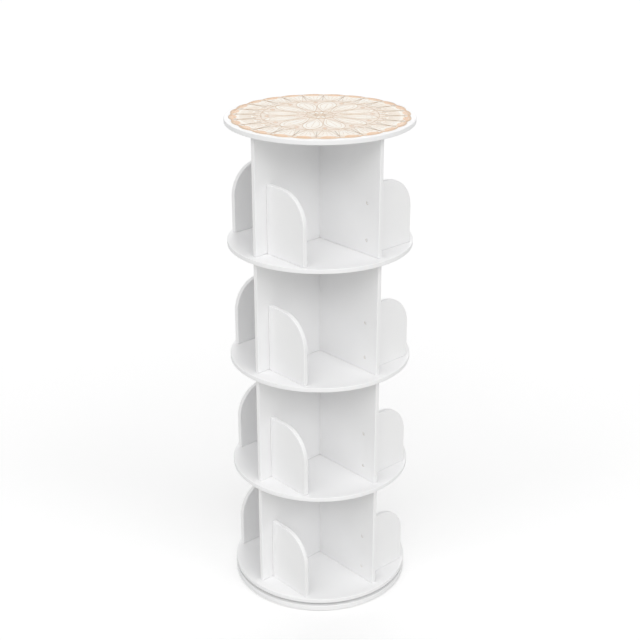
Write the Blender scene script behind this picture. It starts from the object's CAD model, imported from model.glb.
"""Looks of the revolving bookcase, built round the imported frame. All lengths are in metres, and +Z is up."""
import math

import bmesh
import bpy
import numpy as np
from mathutils import Matrix, Vector


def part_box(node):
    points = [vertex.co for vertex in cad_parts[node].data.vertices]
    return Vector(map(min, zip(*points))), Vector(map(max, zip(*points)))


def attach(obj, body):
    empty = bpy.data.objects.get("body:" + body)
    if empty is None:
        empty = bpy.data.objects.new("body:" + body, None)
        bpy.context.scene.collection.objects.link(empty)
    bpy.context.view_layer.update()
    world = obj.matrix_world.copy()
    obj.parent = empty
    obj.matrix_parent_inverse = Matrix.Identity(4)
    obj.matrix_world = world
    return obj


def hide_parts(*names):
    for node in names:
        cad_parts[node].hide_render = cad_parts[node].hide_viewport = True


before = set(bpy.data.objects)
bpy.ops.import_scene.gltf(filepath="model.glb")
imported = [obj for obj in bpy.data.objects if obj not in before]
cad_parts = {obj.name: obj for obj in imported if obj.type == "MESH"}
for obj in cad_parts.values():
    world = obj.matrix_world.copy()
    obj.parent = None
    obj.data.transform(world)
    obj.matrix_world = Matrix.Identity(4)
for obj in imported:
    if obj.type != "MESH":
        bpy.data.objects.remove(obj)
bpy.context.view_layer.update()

MM = 0.001


def span(node, axis):
    """Lowest and highest place of a CAD node along an axis, 0 for X, 1 for Y and 2 for Z."""
    low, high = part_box(node)
    return low[axis], high[axis]


# Sizes that the frame gives
TIERS = 4
BOARD_R = span("base_disc", 0)[1]
BASE_LOW, BASE_TOP = span("base_disc", 2)
SHELF_LOW = [span(f"shelf_{t}", 2)[0] for t in range(1, TIERS + 1)]
FLOOR_Z = [span(f"shelf_{t}", 2)[1] for t in range(1, TIERS + 1)]
TOP_LOW, TOP_Z = span("top_board", 2)
MAT_TOP = span("top_mat", 2)[1]
REACH = span("divider_x_1", 0)[1]
DIVIDER_T = 2 * span("divider_x_1", 1)[1]
TIER_CLEAR = span("divider_x_1", 2)[1] - FLOOR_Z[0]
BOOKEND_IN, BOOKEND_OUT = span("bookend_1_1", 0)
BOOKEND_MID = (BOOKEND_IN + BOOKEND_OUT) / 2
BOOKEND_END = span("bookend_1_1", 1)[1]
BOOKEND_H = span("bookend_1_1", 2)[1] - FLOOR_Z[0]
LOWER_RING_LOW, LOWER_RING_TOP = span("bearing_lower_ring", 2)
UPPER_RING_LOW, UPPER_RING_TOP = span("bearing_upper_ring", 2)
PAD_TOP = span("floor_pads", 2)[1]

# Sizes that repeat the construction. EASE is how far edges are rounded, and FIXING is where the screws and
# dowels stand on each arm
ARMS = 4
EASE_RIM = 1.5 * MM
EASE_BOARD = 1.5 * MM
BOARD_STEPS = 252
BOOKEND_ROUND = 70 * MM
FIXING_INNER = 55 * MM
FIXING_OUTER = REACH - 18 * MM
BOOKEND_SCREWS = (32 * MM, 112 * MM)
PLAY = 0.1 * MM
DOWEL_R = 3 * MM
DOWEL_DEPTH = 12 * MM
PAD_R = 14 * MM
PAD_RING_R = 172 * MM
PADS = 6

# Screws, whose heads lie SINK below the face
SHANK_R = 1.75 * MM
HEAD_R = 3.5 * MM
HEAD_H = 2.4 * MM
HEAD_EDGE = 0.3 * MM
SINK = 0.3 * MM
SCREW_LEN = 40 * MM
LOWER_SCREW_LEN = 15 * MM
UPPER_SCREW_LEN = 13 * MM

# Ring bearing
RACE_R = 126.5 * MM
RACE_Z = (BASE_TOP + SHELF_LOW[0]) / 2
RING_W = 22 * MM
LOWER_RING_IN = 127.6 * MM
UPPER_RING_OUT = 125.4 * MM
LOWER_SCREW_R = LOWER_RING_IN + RING_W / 2
UPPER_SCREW_R = UPPER_RING_OUT - RING_W / 2
GROOVE_R = 2.8 * MM
BALL_R = 2.5 * MM
BALLS = 30
CAGE_T = 1.2 * MM
CAGE_H = 6.8 * MM
CAGE_HOLE_R = 2.6 * MM
ACCESS_R = 6 * MM

# Top mat
MAT_R = 190 * MM
SCALLOPS = 24
SCALLOP_R = 50 * MM
SECTOR = 360 / SCALLOPS
GROUND_T = 0.55 * MM
FILL_RIM = 0.05 * MM
CORD_H = 0.75 * MM
CORD_Z = MAT_TOP - CORD_H / 2
CORD_SIDES = 8

# How far cutters reach: past the end of a blind hole, through a shelf and through the base disc
SPARE = 1 * MM
THROUGH_SHELF = 12 * MM
THROUGH_BASE = 20 * MM

# Points nearer than this are one point
SAME_POINT = 1e-7


# Nodes: one function adds a node with its settings and links

def socket(sockets, key):
    """The socket with that number, identifier or name."""
    if isinstance(key, str):
        for s in sockets:
            if s.identifier == key:
                return s
    return sockets[key]


def add(tree, kind, inputs=None, **settings):
    """Adds a node of that kind, with its settings. An input is given a value, or a socket to link to."""
    node = tree.nodes.new(kind)
    for name, value in settings.items():
        setattr(node, name, value)
    for key, value in (inputs or {}).items():
        target = socket(node.inputs, key)
        if isinstance(value, bpy.types.NodeSocket):
            tree.links.new(value, target)
        else:
            target.default_value = value
    return node


def linear(hex_colour):
    """Linear RGBA of an sRGB colour such as "#f1f1ee"."""
    values = [int(hex_colour[i:i + 2], 16) / 255 for i in (1, 3, 5)]
    return tuple(v / 12.92 if v <= 0.04045 else ((v + 0.055) / 1.055) ** 2.4 for v in values) + (1.0,)


def new_material(name):
    """An empty material: returns it and its node tree."""
    material = bpy.data.materials.new(name)
    material.use_nodes = True
    material.node_tree.nodes.clear()
    return material, material.node_tree


# Materials

def lacquered_mdf():
    """Medium density fibreboard, sprayed with white satin lacquer. The spray dries with a faint orange peel,
    its sheen drifts a little over a board, and on the cut edges the fibres soak it up and leave a duller,
    finer grit."""
    material, tree = new_material("lacquered_mdf")
    peel_mm, drift_mm, grit_mm = 2.6, 70, 0.7
    place = add(tree, "ShaderNodeTexCoord").outputs["Object"]
    edge = add(tree, "ShaderNodeAttribute", attribute_name="cut_edge").outputs["Fac"]
    peel = add(tree, "ShaderNodeTexNoise", {
        "Vector": place, "Scale": 1000 / peel_mm, "Detail": 2.0, "Roughness": 0.45})
    drift = add(tree, "ShaderNodeTexNoise", {
        "Vector": place, "Scale": 1000 / drift_mm, "Detail": 3.0, "Roughness": 0.5})
    grit = add(tree, "ShaderNodeTexNoise", {
        "Vector": place, "Scale": 1000 / grit_mm, "Detail": 3.0, "Roughness": 0.6})
    tint = add(tree, "ShaderNodeMix", {
        "Factor_Float": drift.outputs["Fac"],
        "A_Color": linear("#f1f1f2"),
        "B_Color": linear("#f5f5f5"),
    }, data_type="RGBA")
    sheen = add(tree, "ShaderNodeMapRange", {
        "Value": drift.outputs["Fac"], "From Min": 0.3, "From Max": 0.7, "To Min": 0.36, "To Max": 0.46})
    dull = add(tree, "ShaderNodeMath", {
        0: edge, 1: 0.12, 2: sheen.outputs["Result"]}, operation="MULTIPLY_ADD")
    fibre = add(tree, "ShaderNodeMath", {0: grit.outputs["Fac"], 1: edge}, operation="MULTIPLY")
    relief = add(tree, "ShaderNodeMath", {
        0: fibre.outputs[0], 1: 0.5, 2: peel.outputs["Fac"]}, operation="MULTIPLY_ADD")
    bump = add(tree, "ShaderNodeBump", {"Height": relief.outputs[0], "Distance": 0.03 * MM, "Strength": 1.0})
    shader = add(tree, "ShaderNodeBsdfPrincipled", {
        "Base Color": socket(tint.outputs, "Result_Color"),
        "Roughness": dull.outputs[0],
        "IOR": 1.5,
        "Normal": bump.outputs["Normal"],
    })
    add(tree, "ShaderNodeOutputMaterial", {"Surface": shader.outputs["BSDF"]})
    return material


def raw_mdf():
    """The same board where a drill has opened it: bare brown wood fibres, matt and a little fluffy."""
    material, tree = new_material("raw_mdf")
    fibre_mm = 0.8
    place = add(tree, "ShaderNodeTexCoord").outputs["Object"]
    fibre = add(tree, "ShaderNodeTexNoise", {
        "Vector": place, "Scale": 1000 / fibre_mm, "Detail": 4.0, "Roughness": 0.65})
    tint = add(tree, "ShaderNodeMix", {
        "Factor_Float": fibre.outputs["Fac"],
        "A_Color": linear("#8f6d47"),
        "B_Color": linear("#c9a678"),
    }, data_type="RGBA")
    bump = add(tree, "ShaderNodeBump", {"Height": fibre.outputs["Fac"], "Distance": 0.1 * MM})
    shader = add(tree, "ShaderNodeBsdfPrincipled", {
        "Base Color": socket(tint.outputs, "Result_Color"),
        "Roughness": 0.9,
        "Normal": bump.outputs["Normal"],
    })
    add(tree, "ShaderNodeOutputMaterial", {"Surface": shader.outputs["BSDF"]})
    return material


def turned_aluminium():
    """Aluminium rings faced on a lathe. The tool leaves fine circles round the axis, which stretch the
    highlights into bands, and handling leaves faint duller clouds. Real circles lie 0.35 mm apart, and are
    drawn 2 pi times as far apart so that they show."""
    material, tree = new_material("turned_aluminium")
    circle_mm, cloud_mm = 0.35 * 2 * math.pi, 12
    circles_at_scale_1 = 20 / (2 * math.pi)
    place = add(tree, "ShaderNodeTexCoord").outputs["Object"]
    marks = add(tree, "ShaderNodeTexWave", {
        "Vector": place, "Scale": 1000 / circle_mm / circles_at_scale_1, "Distortion": 0.4, "Detail": 1.0,
    }, wave_type="RINGS", rings_direction="Z")
    cloud = add(tree, "ShaderNodeTexNoise", {"Vector": place, "Scale": 1000 / cloud_mm, "Detail": 3.0})
    rough = add(tree, "ShaderNodeMapRange", {
        "Value": cloud.outputs["Fac"], "From Min": 0.3, "From Max": 0.7, "To Min": 0.24, "To Max": 0.38})
    tint = add(tree, "ShaderNodeMix", {
        "Factor_Float": marks.outputs["Fac"],
        "A_Color": linear("#c3c6ca"),
        "B_Color": linear("#d6d8db"),
    }, data_type="RGBA")
    bump = add(tree, "ShaderNodeBump", {"Height": marks.outputs["Fac"], "Distance": 0.01 * MM})
    shader = add(tree, "ShaderNodeBsdfPrincipled", {
        "Base Color": socket(tint.outputs, "Result_Color"),
        "Metallic": 1.0,
        "Roughness": rough.outputs["Result"],
        "Anisotropic": 0.4,
        "Normal": bump.outputs["Normal"],
    })
    add(tree, "ShaderNodeOutputMaterial", {"Surface": shader.outputs["BSDF"]})
    return material


def bearing_steel():
    """Hardened chrome steel, lapped to a mirror, with a thin film of grease that dulls it here and there."""
    material, tree = new_material("bearing_steel")
    film_mm = 1.5
    place = add(tree, "ShaderNodeTexCoord").outputs["Object"]
    film = add(tree, "ShaderNodeTexNoise", {"Vector": place, "Scale": 1000 / film_mm, "Detail": 2.0})
    rough = add(tree, "ShaderNodeMapRange", {
        "Value": film.outputs["Fac"], "From Min": 0.35, "From Max": 0.7, "To Min": 0.05, "To Max": 0.16})
    shader = add(tree, "ShaderNodeBsdfPrincipled", {
        "Base Color": linear("#cfd1d4"),
        "Metallic": 1.0,
        "Roughness": rough.outputs["Result"],
    })
    add(tree, "ShaderNodeOutputMaterial", {"Surface": shader.outputs["BSDF"]})
    return material


def natural_nylon():
    """Undyed polyamide, injection moulded: milky, a little see-through where thin, with the fine grain of
    its spark-eroded mould."""
    material, tree = new_material("natural_nylon")
    grain_mm = 0.5
    place = add(tree, "ShaderNodeTexCoord").outputs["Object"]
    grain = add(tree, "ShaderNodeTexNoise", {"Vector": place, "Scale": 1000 / grain_mm, "Detail": 2.0})
    tint = add(tree, "ShaderNodeMix", {
        "Factor_Float": grain.outputs["Fac"],
        "A_Color": linear("#e6e2d4"),
        "B_Color": linear("#eeebe0"),
    }, data_type="RGBA")
    bump = add(tree, "ShaderNodeBump", {"Height": grain.outputs["Fac"], "Distance": 0.02 * MM})
    shader = add(tree, "ShaderNodeBsdfPrincipled", {
        "Base Color": socket(tint.outputs, "Result_Color"),
        "Roughness": 0.5,
        "IOR": 1.53,
        "Subsurface Weight": 0.15,
        "Subsurface Radius": (1.0, 0.9, 0.7),
        "Subsurface Scale": 1 * MM,
        "Normal": bump.outputs["Normal"],
    })
    add(tree, "ShaderNodeOutputMaterial", {"Surface": shader.outputs["BSDF"]})
    return material


def zinc_plate():
    """Bright zinc plating on steel wire screws: bluish silver, mottled by the passivation bath."""
    material, tree = new_material("zinc_plate")
    mottle_mm = 1.2
    place = add(tree, "ShaderNodeTexCoord").outputs["Object"]
    mottle = add(tree, "ShaderNodeTexNoise", {"Vector": place, "Scale": 1000 / mottle_mm, "Detail": 3.0})
    tint = add(tree, "ShaderNodeMix", {
        "Factor_Float": mottle.outputs["Fac"],
        "A_Color": linear("#b3bbc2"),
        "B_Color": linear("#d4d6d4"),
    }, data_type="RGBA")
    rough = add(tree, "ShaderNodeMapRange", {
        "Value": mottle.outputs["Fac"], "From Min": 0.3, "From Max": 0.7, "To Min": 0.24, "To Max": 0.4})
    shader = add(tree, "ShaderNodeBsdfPrincipled", {
        "Base Color": socket(tint.outputs, "Result_Color"),
        "Metallic": 1.0,
        "Roughness": rough.outputs["Result"],
    })
    add(tree, "ShaderNodeOutputMaterial", {"Surface": shader.outputs["BSDF"]})
    return material


def screw_head_paint():
    """White stoving enamel on the screw heads, thick in the corners and with a soft pebbled gloss."""
    material, tree = new_material("screw_head_paint")
    pebble_mm = 0.9
    place = add(tree, "ShaderNodeTexCoord").outputs["Object"]
    pebble = add(tree, "ShaderNodeTexNoise", {"Vector": place, "Scale": 1000 / pebble_mm, "Detail": 1.0})
    tint = add(tree, "ShaderNodeMix", {
        "Factor_Float": pebble.outputs["Fac"],
        "A_Color": linear("#ececed"),
        "B_Color": linear("#f3f3f3"),
    }, data_type="RGBA")
    bump = add(tree, "ShaderNodeBump", {"Height": pebble.outputs["Fac"], "Distance": 0.02 * MM})
    shader = add(tree, "ShaderNodeBsdfPrincipled", {
        "Base Color": socket(tint.outputs, "Result_Color"),
        "Roughness": 0.32,
        "IOR": 1.5,
        "Normal": bump.outputs["Normal"],
    })
    add(tree, "ShaderNodeOutputMaterial", {"Surface": shader.outputs["BSDF"]})
    return material


def turned_beech():
    """Steamed beech dowel rod: pinkish tan, with straight grain up the rod and short dark flecks between
    the pores."""
    material, tree = new_material("turned_beech")
    grain_mm, fleck_mm = 0.9, 0.6
    place = add(tree, "ShaderNodeTexCoord").outputs["Object"]
    long_grain = add(tree, "ShaderNodeMapping", {"Vector": place, "Scale": (1.0, 1.0, 0.06)})
    short_fleck = add(tree, "ShaderNodeMapping", {"Vector": place, "Scale": (1.0, 1.0, 0.3)})
    grain = add(tree, "ShaderNodeTexNoise", {
        "Vector": long_grain.outputs[0], "Scale": 1000 / grain_mm, "Detail": 3.0})
    fleck = add(tree, "ShaderNodeTexNoise", {
        "Vector": short_fleck.outputs[0], "Scale": 1000 / fleck_mm, "Detail": 1.0})
    tint = add(tree, "ShaderNodeMix", {
        "Factor_Float": grain.outputs["Fac"],
        "A_Color": linear("#c79f70"),
        "B_Color": linear("#e2c59b"),
    }, data_type="RGBA")
    dark = add(tree, "ShaderNodeMapRange", {
        "Value": fleck.outputs["Fac"], "From Min": 0.62, "From Max": 0.72, "To Min": 0.0, "To Max": 0.5})
    flecked = add(tree, "ShaderNodeMix", {
        "Factor_Float": dark.outputs["Result"],
        "A_Color": socket(tint.outputs, "Result_Color"),
        "B_Color": linear("#9a7148"),
    }, data_type="RGBA")
    bump = add(tree, "ShaderNodeBump", {"Height": grain.outputs["Fac"], "Distance": 0.05 * MM})
    shader = add(tree, "ShaderNodeBsdfPrincipled", {
        "Base Color": socket(flecked.outputs, "Result_Color"),
        "Roughness": 0.62,
        "Normal": bump.outputs["Normal"],
    })
    add(tree, "ShaderNodeOutputMaterial", {"Surface": shader.outputs["BSDF"]})
    return material


def pressed_felt():
    """Needled wool felt, pressed flat: its grey-beige fibres lie every way and catch light at a low angle."""
    material, tree = new_material("pressed_felt")
    fibre_mm, tuft_mm = 0.5, 3.0
    place = add(tree, "ShaderNodeTexCoord").outputs["Object"]
    fibre = add(tree, "ShaderNodeTexNoise", {
        "Vector": place, "Scale": 1000 / fibre_mm, "Detail": 4.0, "Roughness": 0.7, "Distortion": 1.5})
    tuft = add(tree, "ShaderNodeTexNoise", {"Vector": place, "Scale": 1000 / tuft_mm, "Detail": 2.0})
    mixed = add(tree, "ShaderNodeMath", {
        0: fibre.outputs["Fac"], 1: tuft.outputs["Fac"]}, operation="MULTIPLY")
    tint = add(tree, "ShaderNodeMix", {
        "Factor_Float": mixed.outputs[0],
        "A_Color": linear("#b9b5ac"),
        "B_Color": linear("#efece5"),
    }, data_type="RGBA")
    bump = add(tree, "ShaderNodeBump", {"Height": fibre.outputs["Fac"], "Distance": 0.25 * MM})
    shader = add(tree, "ShaderNodeBsdfPrincipled", {
        "Base Color": socket(tint.outputs, "Result_Color"),
        "Roughness": 0.95,
        "Sheen Weight": 0.35,
        "Sheen Roughness": 0.5,
        "Normal": bump.outputs["Normal"],
    })
    add(tree, "ShaderNodeOutputMaterial", {"Surface": shader.outputs["BSDF"]})
    return material


def twisted_cotton(name, dark, light):
    """Mercerised cotton yarn of two plies. The plies wind round each other, so bands of shade climb the
    cord aslant. The real twist is finer, and is drawn once every 2.4 mm so that it shows."""
    material, tree = new_material(name)
    twist_mm, fibre_mm = 2.4, 0.35
    along = add(tree, "ShaderNodeAttribute", attribute_name="along").outputs["Fac"]
    around = add(tree, "ShaderNodeAttribute", attribute_name="around").outputs["Fac"]
    place = add(tree, "ShaderNodeTexCoord").outputs["Object"]
    turns = add(tree, "ShaderNodeMath", {0: along, 1: 1000 / twist_mm, 2: around}, operation="MULTIPLY_ADD")
    phase = add(tree, "ShaderNodeMath", {0: turns.outputs[0], 1: 4 * math.pi}, operation="MULTIPLY")
    wave = add(tree, "ShaderNodeMath", {0: phase.outputs[0]}, operation="SINE")
    ply = add(tree, "ShaderNodeMath", {0: wave.outputs[0], 1: 0.5, 2: 0.5}, operation="MULTIPLY_ADD")
    fibre = add(tree, "ShaderNodeTexNoise", {"Vector": place, "Scale": 1000 / fibre_mm, "Detail": 2.0})
    shade = add(tree, "ShaderNodeMath", {
        0: fibre.outputs["Fac"], 1: 0.4, 2: ply.outputs[0]}, operation="MULTIPLY_ADD")
    tint = add(tree, "ShaderNodeMix", {
        "Factor_Float": shade.outputs[0], "A_Color": linear(dark), "B_Color": linear(light),
    }, data_type="RGBA")
    bump = add(tree, "ShaderNodeBump", {"Height": shade.outputs[0], "Distance": 0.15 * MM})
    shader = add(tree, "ShaderNodeBsdfPrincipled", {
        "Base Color": socket(tint.outputs, "Result_Color"),
        "Roughness": 0.7,
        "Sheen Weight": 0.2,
        "Sheen Roughness": 0.4,
        "Normal": bump.outputs["Normal"],
    })
    add(tree, "ShaderNodeOutputMaterial", {"Surface": shader.outputs["BSDF"]})
    return material


def cotton_net():
    """The fine cotton ground of the mat, a plain weave that shades the light in tiny squares. Real threads
    lie 0.6 mm apart, and are drawn 1.6 mm apart so that they show. It is beige between the petals, cream
    under the shells and peach at the scalloped border."""
    material, tree = new_material("cotton_net")
    thread_mm = 1.6
    place = add(tree, "ShaderNodeTexCoord").outputs["Object"]
    parts = add(tree, "ShaderNodeSeparateXYZ", {"Vector": place})
    flat = add(tree, "ShaderNodeCombineXYZ", {"X": parts.outputs["X"], "Y": parts.outputs["Y"], "Z": 0.0})
    radius = add(tree, "ShaderNodeVectorMath", {0: flat.outputs[0]}, operation="LENGTH")
    waves = []
    for axis in ("X", "Y"):
        phase = add(tree, "ShaderNodeMath", {
            0: parts.outputs[axis], 1: 2 * math.pi * 1000 / thread_mm}, operation="MULTIPLY")
        waves.append(add(tree, "ShaderNodeMath", {0: phase.outputs[0]}, operation="SINE"))
    weave = add(tree, "ShaderNodeMath", {
        0: waves[0].outputs[0], 1: waves[1].outputs[0]}, operation="MULTIPLY")
    height = add(tree, "ShaderNodeMath", {0: weave.outputs[0], 1: 0.5, 2: 0.5}, operation="MULTIPLY_ADD")
    bands = add(tree, "ShaderNodeValToRGB", {"Fac": add(tree, "ShaderNodeMath", {
        0: radius.outputs["Value"], 1: MAT_R}, operation="DIVIDE").outputs[0]})
    ramp = bands.color_ramp
    stops = [(0.0, "#fcf0e1"), (0.16, "#fdf2e6"), (0.3, "#fcf2e7"), (0.7, "#fbf0e4"), (0.78, "#fef9f0"),
             (0.95, "#fef5eb"), (0.98, "#fce8d3")]
    ramp.elements[0].position, ramp.elements[0].color = stops[0][0], linear(stops[0][1])
    ramp.elements[1].position, ramp.elements[1].color = stops[-1][0], linear(stops[-1][1])
    for position, colour in stops[1:-1]:
        ramp.elements.new(position).color = linear(colour)
    shade = add(tree, "ShaderNodeMapRange", {"Value": height.outputs[0], "To Min": 0.97, "To Max": 1.0})
    tint = add(tree, "ShaderNodeVectorMath", {
        0: bands.outputs["Color"], 3: shade.outputs["Result"]}, operation="SCALE")
    bump = add(tree, "ShaderNodeBump", {"Height": height.outputs[0], "Distance": 0.2 * MM})
    shader = add(tree, "ShaderNodeBsdfPrincipled", {
        "Base Color": tint.outputs["Vector"],
        "Roughness": 0.85,
        "Sheen Weight": 0.15,
        "Normal": bump.outputs["Normal"],
    })
    add(tree, "ShaderNodeOutputMaterial", {"Surface": shader.outputs["BSDF"]})
    return material


def satin_stitch(name, dark, light):
    """Filled petals of untwisted floss, laid side by side across the petal. The strands are drawn 1.1 mm
    wide so that they show, and shine along their length. They wander by up to 0.6 mm over about 6 mm. The
    dye took unevenly, in patches about 30 mm wide."""
    material, tree = new_material(name)
    strand_mm, dye_mm, wander_mm = 1.1, 30, 6
    along = add(tree, "ShaderNodeAttribute", attribute_name="along").outputs["Fac"]
    place = add(tree, "ShaderNodeTexCoord").outputs["Object"]
    wander = add(tree, "ShaderNodeTexNoise", {"Vector": place, "Scale": 1000 / wander_mm, "Detail": 2.0})
    strayed = add(tree, "ShaderNodeMath", {
        0: wander.outputs["Fac"], 1: 0.6 * MM, 2: along}, operation="MULTIPLY_ADD")
    phase = add(tree, "ShaderNodeMath", {
        0: strayed.outputs[0], 1: 2 * math.pi * 1000 / strand_mm}, operation="MULTIPLY")
    wave = add(tree, "ShaderNodeMath", {0: phase.outputs[0]}, operation="SINE")
    strand = add(tree, "ShaderNodeMath", {0: wave.outputs[0], 1: 0.5, 2: 0.5}, operation="MULTIPLY_ADD")
    dye = add(tree, "ShaderNodeTexNoise", {"Vector": place, "Scale": 1000 / dye_mm, "Detail": 1.0})
    patches = add(tree, "ShaderNodeMath", {0: dye.outputs["Fac"], 1: 1.6, 2: -0.55}, operation="MULTIPLY_ADD")
    shade = add(tree, "ShaderNodeMath", {
        0: strand.outputs[0], 1: 0.45, 2: patches.outputs[0]}, operation="MULTIPLY_ADD")
    tint = add(tree, "ShaderNodeMix", {
        "Factor_Float": shade.outputs[0], "A_Color": linear(dark), "B_Color": linear(light),
    }, data_type="RGBA")
    bump = add(tree, "ShaderNodeBump", {"Height": strand.outputs[0], "Distance": 0.12 * MM})
    shader = add(tree, "ShaderNodeBsdfPrincipled", {
        "Base Color": socket(tint.outputs, "Result_Color"),
        "Roughness": 0.6,
        "Sheen Weight": 0.2,
        "Sheen Roughness": 0.35,
        "Normal": bump.outputs["Normal"],
    })
    add(tree, "ShaderNodeOutputMaterial", {"Surface": shader.outputs["BSDF"]})
    return material


LACQUER = lacquered_mdf()
RAW_MDF = raw_mdf()
ALUMINIUM = turned_aluminium()
STEEL = bearing_steel()
NYLON = natural_nylon()
ZINC = zinc_plate()
HEAD_PAINT = screw_head_paint()
BEECH = turned_beech()
FELT = pressed_felt()
NET = cotton_net()
CREAM_FLOSS = satin_stitch("cream_floss", "#fdf4e8", "#fffdf7")
PEACH_FLOSS = satin_stitch("peach_floss", "#f0c4a0", "#fdecda")
TAN_YARN = twisted_cotton("tan_yarn", "#c4a78b", "#e6d1bb")
BROWN_YARN = twisted_cotton("brown_yarn", "#9d8974", "#c2ae99")
PEACH_YARN = twisted_cotton("peach_yarn", "#e8bd97", "#f7dabd")


# Geometry node trees

def new_tree(name, sockets):
    """A geometry node tree with those inputs: returns it, its input node and the inputs' identifiers."""
    tree = bpy.data.node_groups.new(name, "GeometryNodeTree")
    tree.interface.new_socket("Geometry", in_out="OUTPUT", socket_type="NodeSocketGeometry")
    ids = {}
    for label, kind in (("Geometry", "Geometry"), *sockets):
        ids[label] = tree.interface.new_socket(
            label, in_out="INPUT", socket_type="NodeSocket" + kind).identifier
    return tree, tree.nodes.new("NodeGroupInput"), ids


def finish_copies(tree, given, single):
    """Ends a tree: copies of a single piece stand round Z in equal steps, made real, with their materials."""
    points = add(tree, "GeometryNodePoints", {"Count": given.outputs["Count"]})
    step = add(tree, "ShaderNodeMath", {0: 2 * math.pi, 1: given.outputs["Count"]}, operation="DIVIDE")
    index = add(tree, "GeometryNodeInputIndex")
    angle = add(tree, "ShaderNodeMath", {
        0: index.outputs[0], 1: step.outputs[0], 2: given.outputs["First angle"]}, operation="MULTIPLY_ADD")
    turn = add(tree, "ShaderNodeCombineXYZ", {"Z": angle.outputs[0]})
    copies = add(tree, "GeometryNodeInstanceOnPoints", {
        "Points": points.outputs[0], "Instance": single, "Rotation": turn.outputs[0]})
    real = add(tree, "GeometryNodeRealizeInstances", {"Geometry": copies.outputs[0]})
    first = add(tree, "GeometryNodeSetMaterial", {
        "Geometry": real.outputs[0], "Material": given.outputs["Material"]})
    chosen = add(tree, "GeometryNodeInputNamedAttribute", {"Name": "second_finish"}, data_type="BOOLEAN")
    second = add(tree, "GeometryNodeSetMaterial", {
        "Geometry": first.outputs[0],
        "Selection": chosen.outputs["Attribute"],
        "Material": given.outputs["Second material"],
    })
    add(tree, "NodeGroupOutput", {"Geometry": second.outputs[0]})


COPY_SOCKETS = (
    ("Count", "Int"), ("First angle", "Float"), ("Material", "Material"), ("Second material", "Material"))


def copies_tree():
    """Copies of the object's own mesh about the axis."""
    tree, given, ids = new_tree("copies_about_the_axis", COPY_SOCKETS)
    finish_copies(tree, given, given.outputs["Geometry"])
    return tree, ids


def past_the_seam(tree, mesh, label, turn):
    """Where a loop ends at its start, the corners of its last faces count on by a full turn, so that the
    twist runs through."""
    named = add(tree, "GeometryNodeInputNamedAttribute", {"Name": label}, data_type="FLOAT")
    value = named.outputs["Attribute"]
    middle = add(tree, "GeometryNodeFieldOnDomain", {"Value": value}, data_type="FLOAT", domain="FACE")
    behind = add(tree, "ShaderNodeMath", {0: middle.outputs[0], 1: value}, operation="SUBTRACT")
    quarter = add(tree, "ShaderNodeMath", {0: turn, 1: 0.25}, operation="MULTIPLY")
    at_seam = add(tree, "ShaderNodeMath", {
        0: behind.outputs[0], 1: quarter.outputs[0]}, operation="GREATER_THAN")
    counted = add(tree, "ShaderNodeMath", {
        0: at_seam.outputs[0], 1: turn, 2: value}, operation="MULTIPLY_ADD")
    stored = add(tree, "GeometryNodeStoreNamedAttribute", {
        "Geometry": mesh, "Name": label, "Value": counted.outputs[0]}, data_type="FLOAT", domain="CORNER")
    return stored.outputs[0]


def cords_tree():
    """The object's lines become cords of yarn with a flattened round section, copied about the axis."""
    tree, given, ids = new_tree("cords_about_the_axis", (
        *COPY_SOCKETS, ("Cord width", "Float"), ("Cord height", "Float"), ("Sides", "Int")))
    lines = add(tree, "GeometryNodeMeshToCurve", {"Mesh": given.outputs["Geometry"]})
    upright = add(tree, "GeometryNodeSetCurveNormal", {"Curve": lines.outputs[0]}, mode="Z_UP")
    place = add(tree, "GeometryNodeSplineParameter")
    length = add(tree, "GeometryNodeSplineLength")
    closed = add(tree, "GeometryNodeInputSplineCyclic")
    loop = add(tree, "ShaderNodeMath", {
        0: length.outputs["Length"], 1: closed.outputs[0]}, operation="MULTIPLY")
    marked = upright.outputs[0]
    for label, value in (("along", place.outputs["Length"]), ("loop_length", loop.outputs[0])):
        marked = add(tree, "GeometryNodeStoreNamedAttribute", {
            "Geometry": marked, "Name": label, "Value": value}, data_type="FLOAT", domain="POINT").outputs[0]
    circle = add(tree, "GeometryNodeCurvePrimitiveCircle", {
        "Resolution": given.outputs["Sides"], "Radius": 0.5})
    share = add(tree, "GeometryNodeSplineParameter")
    ring = add(tree, "GeometryNodeStoreNamedAttribute", {
        "Geometry": circle.outputs[0], "Name": "around", "Value": share.outputs["Factor"],
    }, data_type="FLOAT", domain="POINT")
    size = add(tree, "ShaderNodeCombineXYZ", {
        "X": given.outputs["Cord width"], "Y": given.outputs["Cord height"], "Z": 1.0})
    section = add(tree, "GeometryNodeTransform", {"Geometry": ring.outputs[0], "Scale": size.outputs[0]})
    cords = add(tree, "GeometryNodeCurveToMesh", {
        "Curve": marked, "Profile Curve": section.outputs[0], "Fill Caps": True})
    loop_length = add(tree, "GeometryNodeInputNamedAttribute", {"Name": "loop_length"}, data_type="FLOAT")
    finished = past_the_seam(tree, cords.outputs[0], "along", loop_length.outputs["Attribute"])
    finished = past_the_seam(tree, finished, "around", 1.0)
    finish_copies(tree, given, finished)
    return tree, ids


COPIES, COPIES_IDS = copies_tree()
CORDS, CORDS_IDS = cords_tree()


# Meshes

def new_object(name, mesh):
    """A new object in the scene, with that mesh."""
    obj = bpy.data.objects.new(name, mesh)
    bpy.context.scene.collection.objects.link(obj)
    return obj


def mesh_from(name, points, faces, edges=()):
    """A new mesh with those points, faces and edges."""
    mesh = bpy.data.meshes.new(name)
    mesh.from_pydata([tuple(p) for p in points], list(edges), list(faces))
    mesh.update()
    return mesh


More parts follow.
